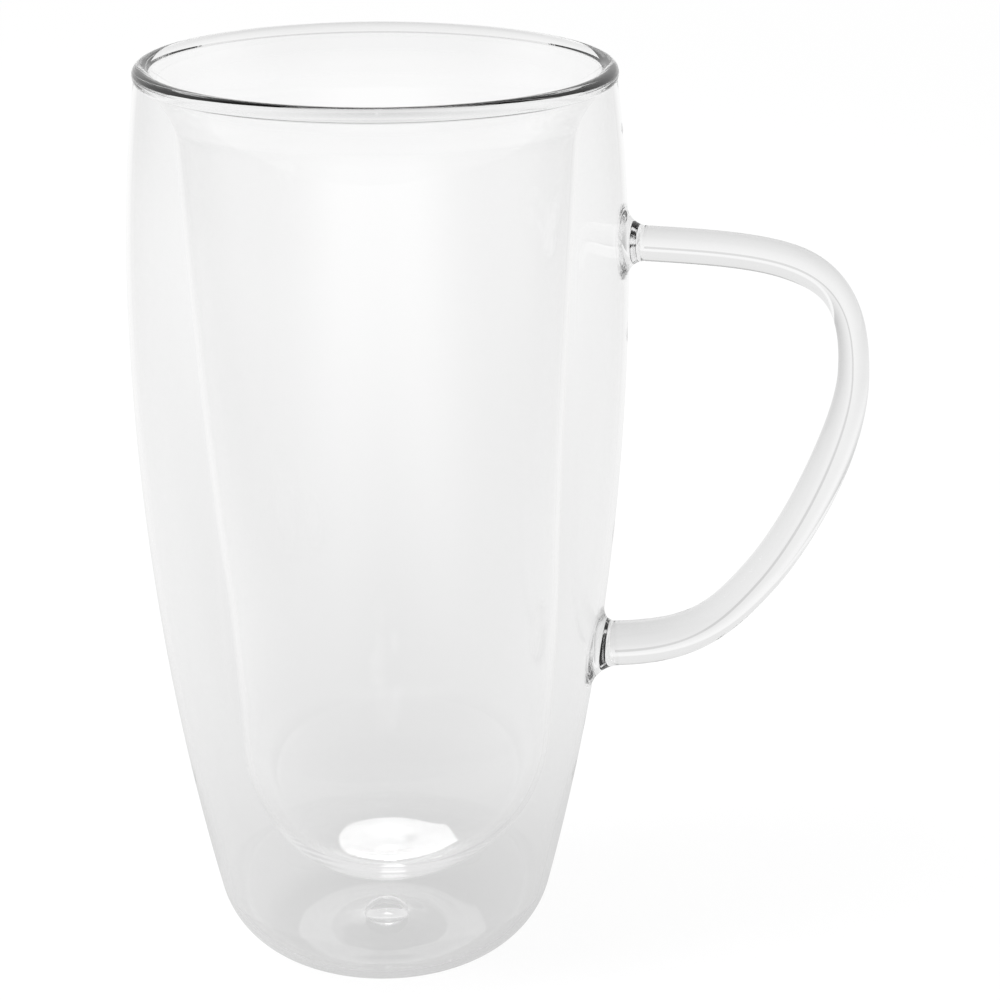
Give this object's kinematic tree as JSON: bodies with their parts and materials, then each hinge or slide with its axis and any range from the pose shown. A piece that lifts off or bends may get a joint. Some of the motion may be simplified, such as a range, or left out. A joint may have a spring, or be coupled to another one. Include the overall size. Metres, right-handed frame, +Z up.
{
  "type": "double walled glass cup",
  "caption": "Tall clear glass cup with two walls, a sealed air gap between them, a fused lip, a rounded base and a bent glass rod handle.",
  "frame": {"origin": "on the cup's axis, in the plane of the foot ring it stands on", "axes": "+Z up along the cup's axis, +X from the axis towards the handle"},
  "size_m": [0.125, 0.0844, 0.16],
  "materials": {
    "clear_glass": "polished",
    "thick_glass": "fire polished"
  },
  "bodies": {
    "root": {"outer_wall": "clear_glass", "base": "thick_glass", "vent_seal": "thick_glass", "inner_wall": "clear_glass", "lip_bead": "thick_glass", "handle_rod": "clear_glass", "upper_weld": "thick_glass", "lower_weld": "thick_glass"}
  },
  "joints": []
}
